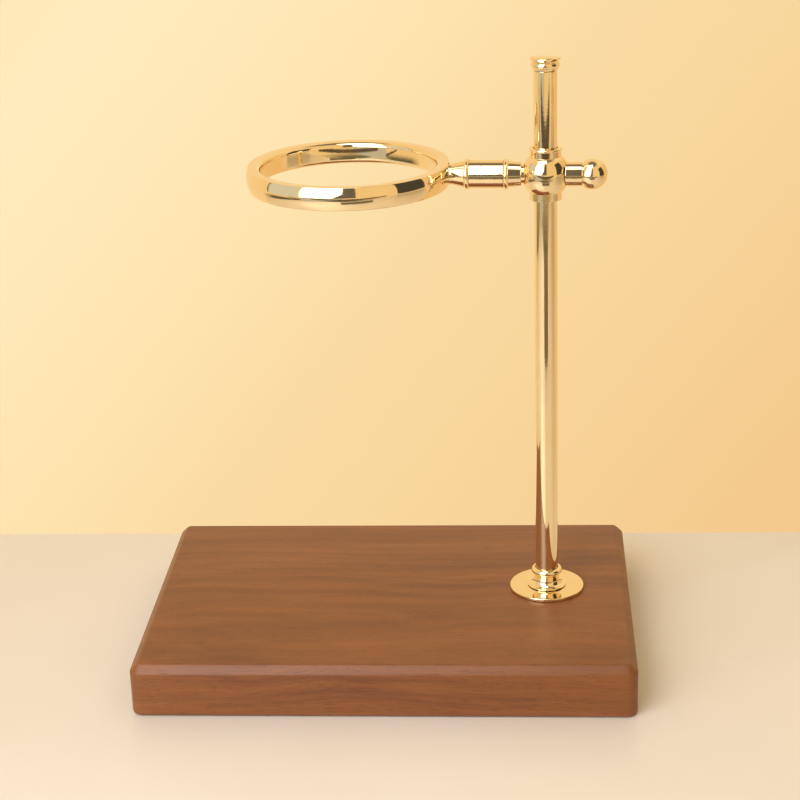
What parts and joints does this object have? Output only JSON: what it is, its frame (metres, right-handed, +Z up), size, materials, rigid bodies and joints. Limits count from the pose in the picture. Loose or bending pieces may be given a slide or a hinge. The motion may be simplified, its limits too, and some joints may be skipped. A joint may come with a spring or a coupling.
{
  "type": "tabletop ring stand",
  "caption": "Ring stand: a turned metal pole on a bevelled wooden board carries a sliding, swinging boss whose arm holds a ring over the board, held by a clamp knob.",
  "frame": {"origin": "under the middle of the board, on the surface that the foot pads rest on", "axes": "+Z up along the pole, +X along the board's length from the ring's side to the pole's side, +Y to the back"},
  "size_m": [0.26, 0.18, 0.32],
  "materials": {
    "board_wood": "walnut-stained board with a satin lacquer",
    "polished_brass": "turned and mirror polished brass",
    "plated_steel": "bright zinc plated steel",
    "nylon": "natural nylon",
    "pad_felt": "dense dark felt"
  },
  "bodies": {
    "stand": {"base_board": "board_wood", "foot_pad_front_left": "pad_felt", "foot_pad_front_right": "pad_felt", "foot_pad_back_left": "pad_felt", "foot_pad_back_right": "pad_felt", "fixing_bolt": "plated_steel", "spring_washer": "plated_steel", "flat_washer": "plated_steel", "flange_disc": "polished_brass", "flange_collar": "polished_brass", "pole_tube": "polished_brass", "pole_foot_plug": "plated_steel", "pole_head_plug": "plated_steel", "pole_cap": "polished_brass"},
    "carriage": {"upper_bush": "nylon", "lower_bush": "nylon"},
    "arm_set": {"slider_boss": "polished_brass", "arm": "polished_brass", "arm_stud": "plated_steel", "ring": "polished_brass", "ring_stud": "plated_steel"},
    "clamp_shoe": {"clamp_tip": "nylon"},
    "clamp_handle": {"clamp_screw": "plated_steel", "clamp_knob": "polished_brass"}
  },
  "joints": [
    {"name": "boss_slide", "type": "slide", "parent": "stand", "child": "carriage", "axis": [0, 0, 1], "range_m": [-0.2055, 0.039]},
    {"name": "arm_swing", "type": "hinge", "parent": "carriage", "child": "arm_set", "pos_m": [0.085, 0.004, 0.26], "axis": [0, 0, 1], "continuous": true},
    {"name": "clamp_feed", "type": "slide", "parent": "arm_set", "child": "clamp_shoe", "axis": [0.9981, -0.061, 0], "range_m": [0, 0.003]},
    {"name": "clamp_turn", "type": "hinge", "parent": "clamp_shoe", "child": "clamp_handle", "pos_m": [0.085, 0.004, 0.26], "axis": [0.9981, -0.061, 0], "range_deg": [0, 1080.5]}
  ],
  "couplings": [
    {"joint": "clamp_turn", "follows": "clamp_feed", "rad_per_m": 6283.2}
  ]
}
